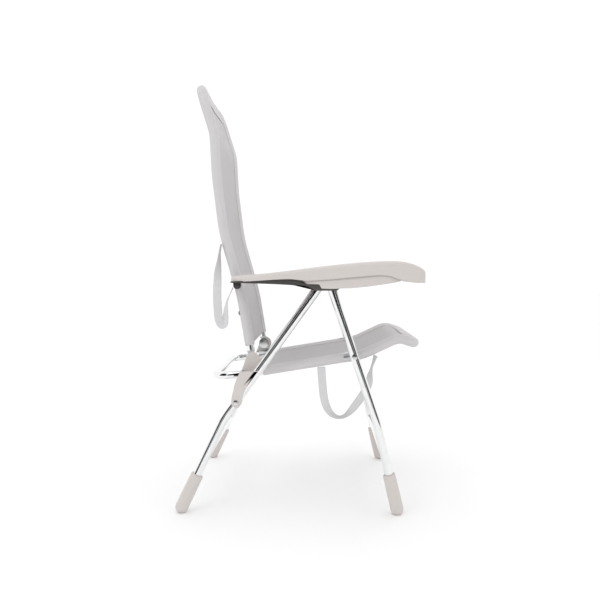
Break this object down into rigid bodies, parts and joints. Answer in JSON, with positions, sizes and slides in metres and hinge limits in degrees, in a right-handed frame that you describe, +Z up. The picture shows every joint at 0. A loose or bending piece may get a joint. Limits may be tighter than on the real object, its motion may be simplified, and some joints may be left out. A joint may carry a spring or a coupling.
{
  "type": "folding camp chair",
  "caption": "High-back folding recliner chair: bent tube frame, sling seat and back, hollow plastic armrests with notched racks, sleeve feet and carrying straps.",
  "frame": {"origin": "on the floor plane, under the middle of the standing chair", "axes": "+X the way the sitter faces, +Y to the sitter's left, +Z up"},
  "size_m": [0.6481, 0.609, 1.135],
  "materials": {
    "frame_tube": "polished, clear anodised",
    "bracket": "satin",
    "pin": "zinc plated",
    "rack": "dark moulded nylon",
    "plastic": "fine moulded texture",
    "inner_plastic": "moulded",
    "sling": "woven mesh sling",
    "webbing": "woven strap"
  },
  "bodies": {
    "seat": {"seat_frame": "frame_tube", "seat_front_bar": "frame_tube", "seat_fabric": "sling", "seat_hinge_brackets": "bracket", "seat_pivot_brackets": "bracket", "seat_pivot_bolts": "pin", "seat_handle": "webbing"},
    "front_legs": {"front_leg_left": "frame_tube", "front_leg_right": "frame_tube", "front_crossbar": "frame_tube", "front_foot_left": "plastic", "front_foot_right": "plastic", "leg_end_plugs_front": "inner_plastic"},
    "rear_legs": {"rear_leg_left": "frame_tube", "rear_leg_right": "frame_tube", "rear_crossbar": "frame_tube", "rear_foot_left": "plastic", "rear_foot_right": "plastic", "leg_end_plugs_rear": "inner_plastic", "apex_pins": "pin", "link_pins": "pin"},
    "links": {"link_left": "plastic", "link_right": "plastic"},
    "hinge_pins": {"hinge_pins": "pin"},
    "back": {"back_frame": "frame_tube", "back_lower_bar": "frame_tube", "back_fabric": "sling", "back_knuckles": "inner_plastic", "arm_spacers": "inner_plastic", "back_handle": "webbing"},
    "arm_pins": {"arm_pins": "pin"},
    "arms": {"armrest_left": "plastic", "armrest_right": "plastic", "arm_rack_left": "rack", "arm_rack_right": "rack"}
  },
  "joints": [
    {"name": "fold", "type": "hinge", "parent": "seat", "child": "front_legs", "pos_m": [0.144, 0, 0.413], "axis": [0, 1, 0], "range_deg": [0, 67]},
    {"name": "rear_leg_swing", "type": "hinge", "parent": "front_legs", "child": "rear_legs", "pos_m": [0.074, 0, 0.62], "axis": [0, 1, 0], "range_deg": [-46.23, 0]},
    {"name": "link_swing", "type": "hinge", "parent": "rear_legs", "child": "links", "pos_m": [-0.164, 0, 0.29], "axis": [0, 1, 0], "range_deg": [-95.68, 0]},
    {"name": "back_fold", "type": "hinge", "parent": "seat", "child": "hinge_pins", "pos_m": [-0.127, 0, 0.398], "axis": [0, 1, 0], "range_deg": [0, 76.31]},
    {"name": "recline", "type": "hinge", "parent": "hinge_pins", "child": "back", "pos_m": [-0.127, 0, 0.398], "axis": [0, -1, 0], "range_deg": [0, 38]},
    {"name": "arm_fold", "type": "hinge", "parent": "back", "child": "arm_pins", "pos_m": [-0.163, 0, 0.595], "axis": [0, -1, 0], "range_deg": [0, 89.17]},
    {"name": "arm_swing", "type": "hinge", "parent": "arm_pins", "child": "arms", "pos_m": [-0.163, 0, 0.595], "axis": [0, -1, 0], "range_deg": [-29.79, 0]}
  ],
  "couplings": [
    {"joint": "rear_leg_swing", "follows": "fold", "ratio": -0.69001},
    {"joint": "link_swing", "follows": "fold", "ratio": -1.428},
    {"joint": "back_fold", "follows": "fold", "ratio": 1.1389},
    {"joint": "arm_fold", "follows": "fold", "ratio": 1.3308},
    {"joint": "arm_swing", "follows": "recline", "ratio": -0.78395}
  ]
}
